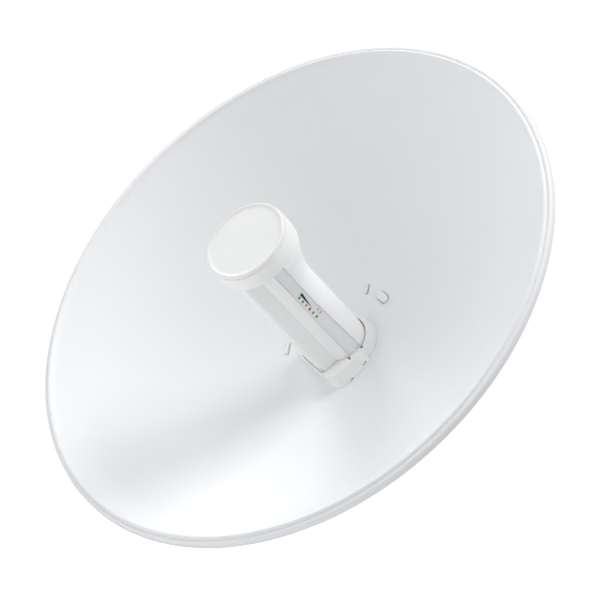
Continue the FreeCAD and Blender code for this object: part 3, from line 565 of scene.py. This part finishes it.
# ---- rear details -------------------------------------------------------------------------------
def latch_spring():
    """Real coil in place of the spring's envelope, at the length it has with the catch lifted."""
    low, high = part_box("latch_spring")
    low.z += COIL_ROOM * MM
    middle = (low + high) / 2
    wire = 0.00032
    radius = (high.x - low.x) / 2 - wire - 0.00003
    turns = 5.5
    curve = bpy.data.curves.new("catch_coil", "CURVE")
    curve.dimensions = "3D"
    curve.bevel_depth = wire
    curve.bevel_resolution = 3
    spline = curve.splines.new("NURBS")
    count = 110
    spline.points.add(count - 1)
    for index in range(count):
        share = index / (count - 1)
        angle = 2 * math.pi * turns * share
        z = low.z + wire + (high.z - low.z - 2 * wire) * share
        spline.points[index].co = (
            middle.x + radius * math.cos(angle), middle.y + radius * math.sin(angle), z, 1
        )
    spline.use_endpoint_u = True
    shape = add_object("catch_coil_curve", curve)
    depsgraph = bpy.context.evaluated_depsgraph_get()
    mesh = bpy.data.meshes.new_from_object(shape.evaluated_get(depsgraph))
    bpy.data.objects.remove(shape)
    coil = add_object("catch_coil", mesh)
    smooth(coil, 60)
    mesh.materials.clear()
    mesh.materials.append(materials["bolt_steel"])
    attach(coil, "dish_head")
    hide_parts("latch_spring")


# ---- stage ------------------------------------------------------------------------------------
def camera_axes():
    """Right, up and forward directions of the camera in the row frame, and its turn."""
    azimuth = math.radians(CAMERA_AZIMUTH)
    elevation = math.radians(CAMERA_ELEVATION)
    back = Vector((
        math.sin(azimuth) * math.cos(elevation),
        -math.cos(azimuth) * math.cos(elevation),
        math.sin(elevation),
    ))
    level = (-back).to_track_quat("-Z", "Y")
    turned = level @ Matrix.Rotation(math.radians(CAMERA_ROLL), 3, "Z").to_quaternion()
    return turned @ Vector((1, 0, 0)), turned @ Vector((0, 1, 0)), -back, turned


def make_camera():
    """Long lens from the dish's front right, rolled, with the dish a little off the centre."""
    right, up, forward, turned = camera_axes()
    camera = add_object("camera", bpy.data.cameras.new("camera"))
    camera.data.angle = math.radians(CAMERA_ANGLE)
    camera.data.clip_start = 0.05
    camera.data.clip_end = 60
    aim = Vector((0, RIM_Y * MM, 0)) + right * AIM_RIGHT - up * AIM_DOWN
    camera.location = aim - forward * CAMERA_DISTANCE
    camera.rotation_mode = "QUATERNION"
    camera.rotation_quaternion = turned
    bpy.context.scene.camera = camera


def area_light(name, direction, size, power):
    """Square light that faces the dish's middle from a direction."""
    light = bpy.data.lights.new(name, "AREA")
    light.shape = "SQUARE"
    light.size = size
    light.energy = power
    lamp = add_object(name, light)
    along = Vector(direction).normalized()
    lamp.location = Vector((0, LIGHT_AIM_Y, 0)) + along * LIGHT_DISTANCE
    lamp.rotation_mode = "QUATERNION"
    lamp.rotation_quaternion = (-along).to_track_quat("-Z", "Y")


def make_floor():
    """Pale floor just under the dish's lowest point."""
    half = FLOOR_HALF_SIZE
    corners = [(x, y, FLOOR_Z) for x, y in ((-half, -half), (half, -half), (half, half), (-half, half))]
    mesh = bpy.data.meshes.new("floor")
    mesh.from_pydata(corners, [], [(0, 1, 2, 3)])
    floor = add_object("floor", mesh)
    paint = Surface("floor_paint", (0.93, 0.93, 0.93), 0.9)
    paint.tone(paint.noise(3, 2), (0.925, 0.925, 0.925))
    paint.shader.inputs["Emission Color"].default_value = (1, 1, 1, 1)
    rays = paint.node("ShaderNodeLightPath")
    glow = paint.node("ShaderNodeMath", operation="MULTIPLY")
    glow.inputs[1].default_value = FLOOR_GLOW
    paint.link(rays.outputs["Is Camera Ray"], glow.inputs[0])
    paint.link(glow.outputs["Value"], paint.shader.inputs["Emission Strength"])
    mesh.materials.append(paint.material)


def make_world():
    """White studio: plain white to the camera, softer as light."""
    world = bpy.data.worlds.new("studio")
    bpy.context.scene.world = world
    world.use_nodes = True
    tree = world.node_tree
    tree.nodes.clear()
    output = tree.nodes.new("ShaderNodeOutputWorld")
    mix = tree.nodes.new("ShaderNodeMixShader")
    rays = tree.nodes.new("ShaderNodeLightPath")
    seen = tree.nodes.new("ShaderNodeBackground")
    lit = tree.nodes.new("ShaderNodeBackground")
    seen.inputs["Color"].default_value = (1, 1, 1, 1)
    seen.inputs["Strength"].default_value = 1.0
    lit.inputs["Color"].default_value = (0.97, 0.985, 1.0, 1)
    lit.inputs["Strength"].default_value = WORLD_LIGHT
    tree.links.new(rays.outputs["Is Camera Ray"], mix.inputs["Fac"])
    tree.links.new(lit.outputs["Background"], mix.inputs[1])
    tree.links.new(seen.outputs["Background"], mix.inputs[2])
    tree.links.new(mix.outputs["Shader"], output.inputs["Surface"])


finish_nodes()
dish_reflector()
feed_cap()
label_marks()
latch_spring()
make_camera()
make_world()
make_floor()
for light_name, light_direction, light_size, watts in LIGHTS:
    area_light(light_name, light_direction, light_size, watts)
bpy.context.scene.view_settings.view_transform = "Standard"
